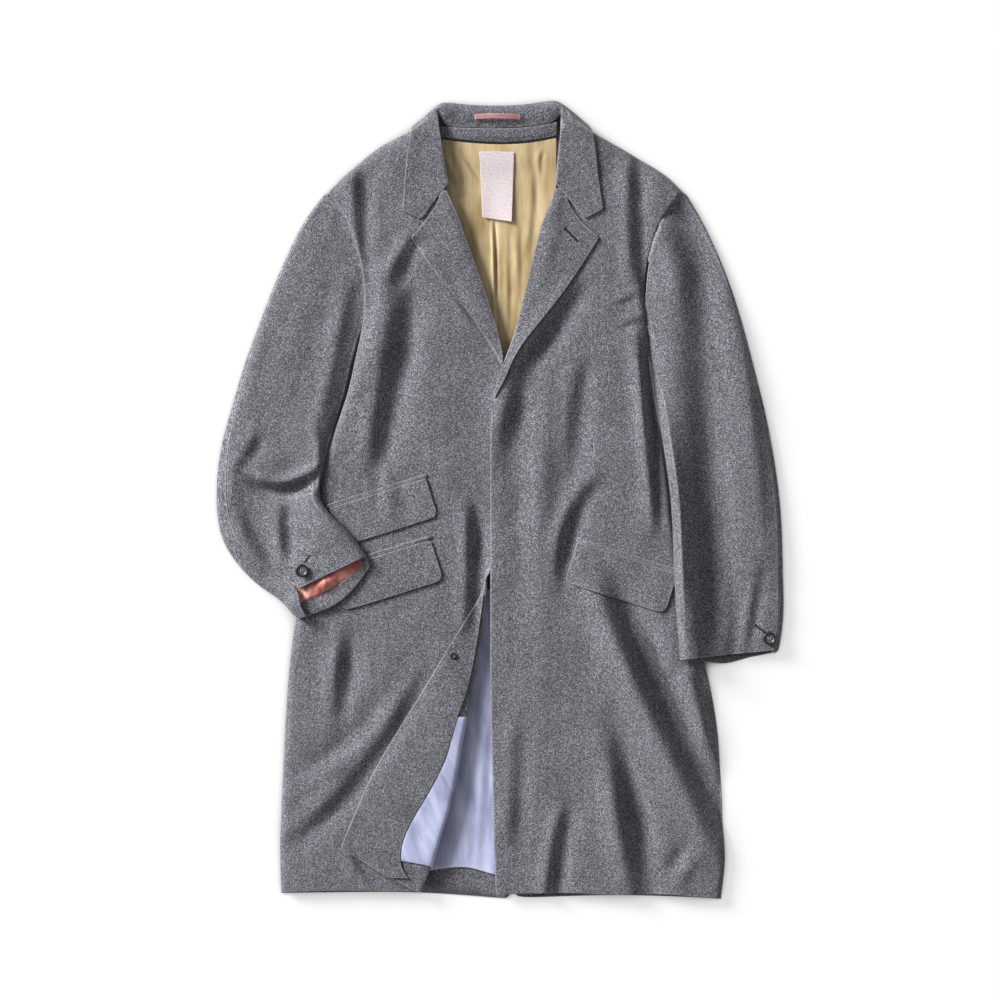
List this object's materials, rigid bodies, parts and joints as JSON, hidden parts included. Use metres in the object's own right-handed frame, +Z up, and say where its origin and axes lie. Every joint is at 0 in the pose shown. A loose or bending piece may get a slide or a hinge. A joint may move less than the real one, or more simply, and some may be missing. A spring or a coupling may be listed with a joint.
{
  "type": "chesterfield coat",
  "caption": "Knee-length single-breasted fly-front wool coat laid flat on its back, notched collar, one skirt corner turned back to show its facing and lining.",
  "frame": {"origin": "on the surface that the coat lies on, under the middle of its bounding box, near the waist", "axes": "+Y along the centre back from the hem towards the collar, +X towards the wearer's left, +Z up through the cloth from the surface it lies on"},
  "size_m": [0.7148, 1.0054, 0.034],
  "materials": {
    "wool": "salt-and-pepper charcoal wool twill with a short nap",
    "lining_beige": "beige twill lining with a soft sheen",
    "lining_lavender": "pale lavender blue satin lining",
    "lining_coral": "coral satin sleeve lining",
    "label_tape": "plain off-white woven tape",
    "loop_satin": "dusty pink satin band",
    "button": "near-black horn-like resin"
  },
  "bodies": {
    "root": {"back_left": "wool", "back_right": "wool", "front_left": "wool", "front_right": "wool", "facing_right": "wool", "lapel_left": "wool", "lapel_right": "wool", "collar": "wool", "collar_stand": "wool", "sleeve_left_top": "wool", "sleeve_left_under": "wool", "sleeve_right_top": "wool", "sleeve_right_under": "wool", "cuff_hem_right": "wool", "flap_left": "wool", "flap_right": "wool", "flap_ticket": "wool", "jet_left": "wool", "jet_right": "wool", "jet_ticket": "wool", "lining_back_upper": "lining_beige", "lining_back_lower": "lining_lavender", "lining_front_right": "lining_lavender", "lining_sleeve_right": "lining_coral", "label": "label_tape", "hanging_loop": "loop_satin", "button_cuff_left": "button", "button_cuff_right": "button", "button_facing": "button"}
  },
  "joints": []
}
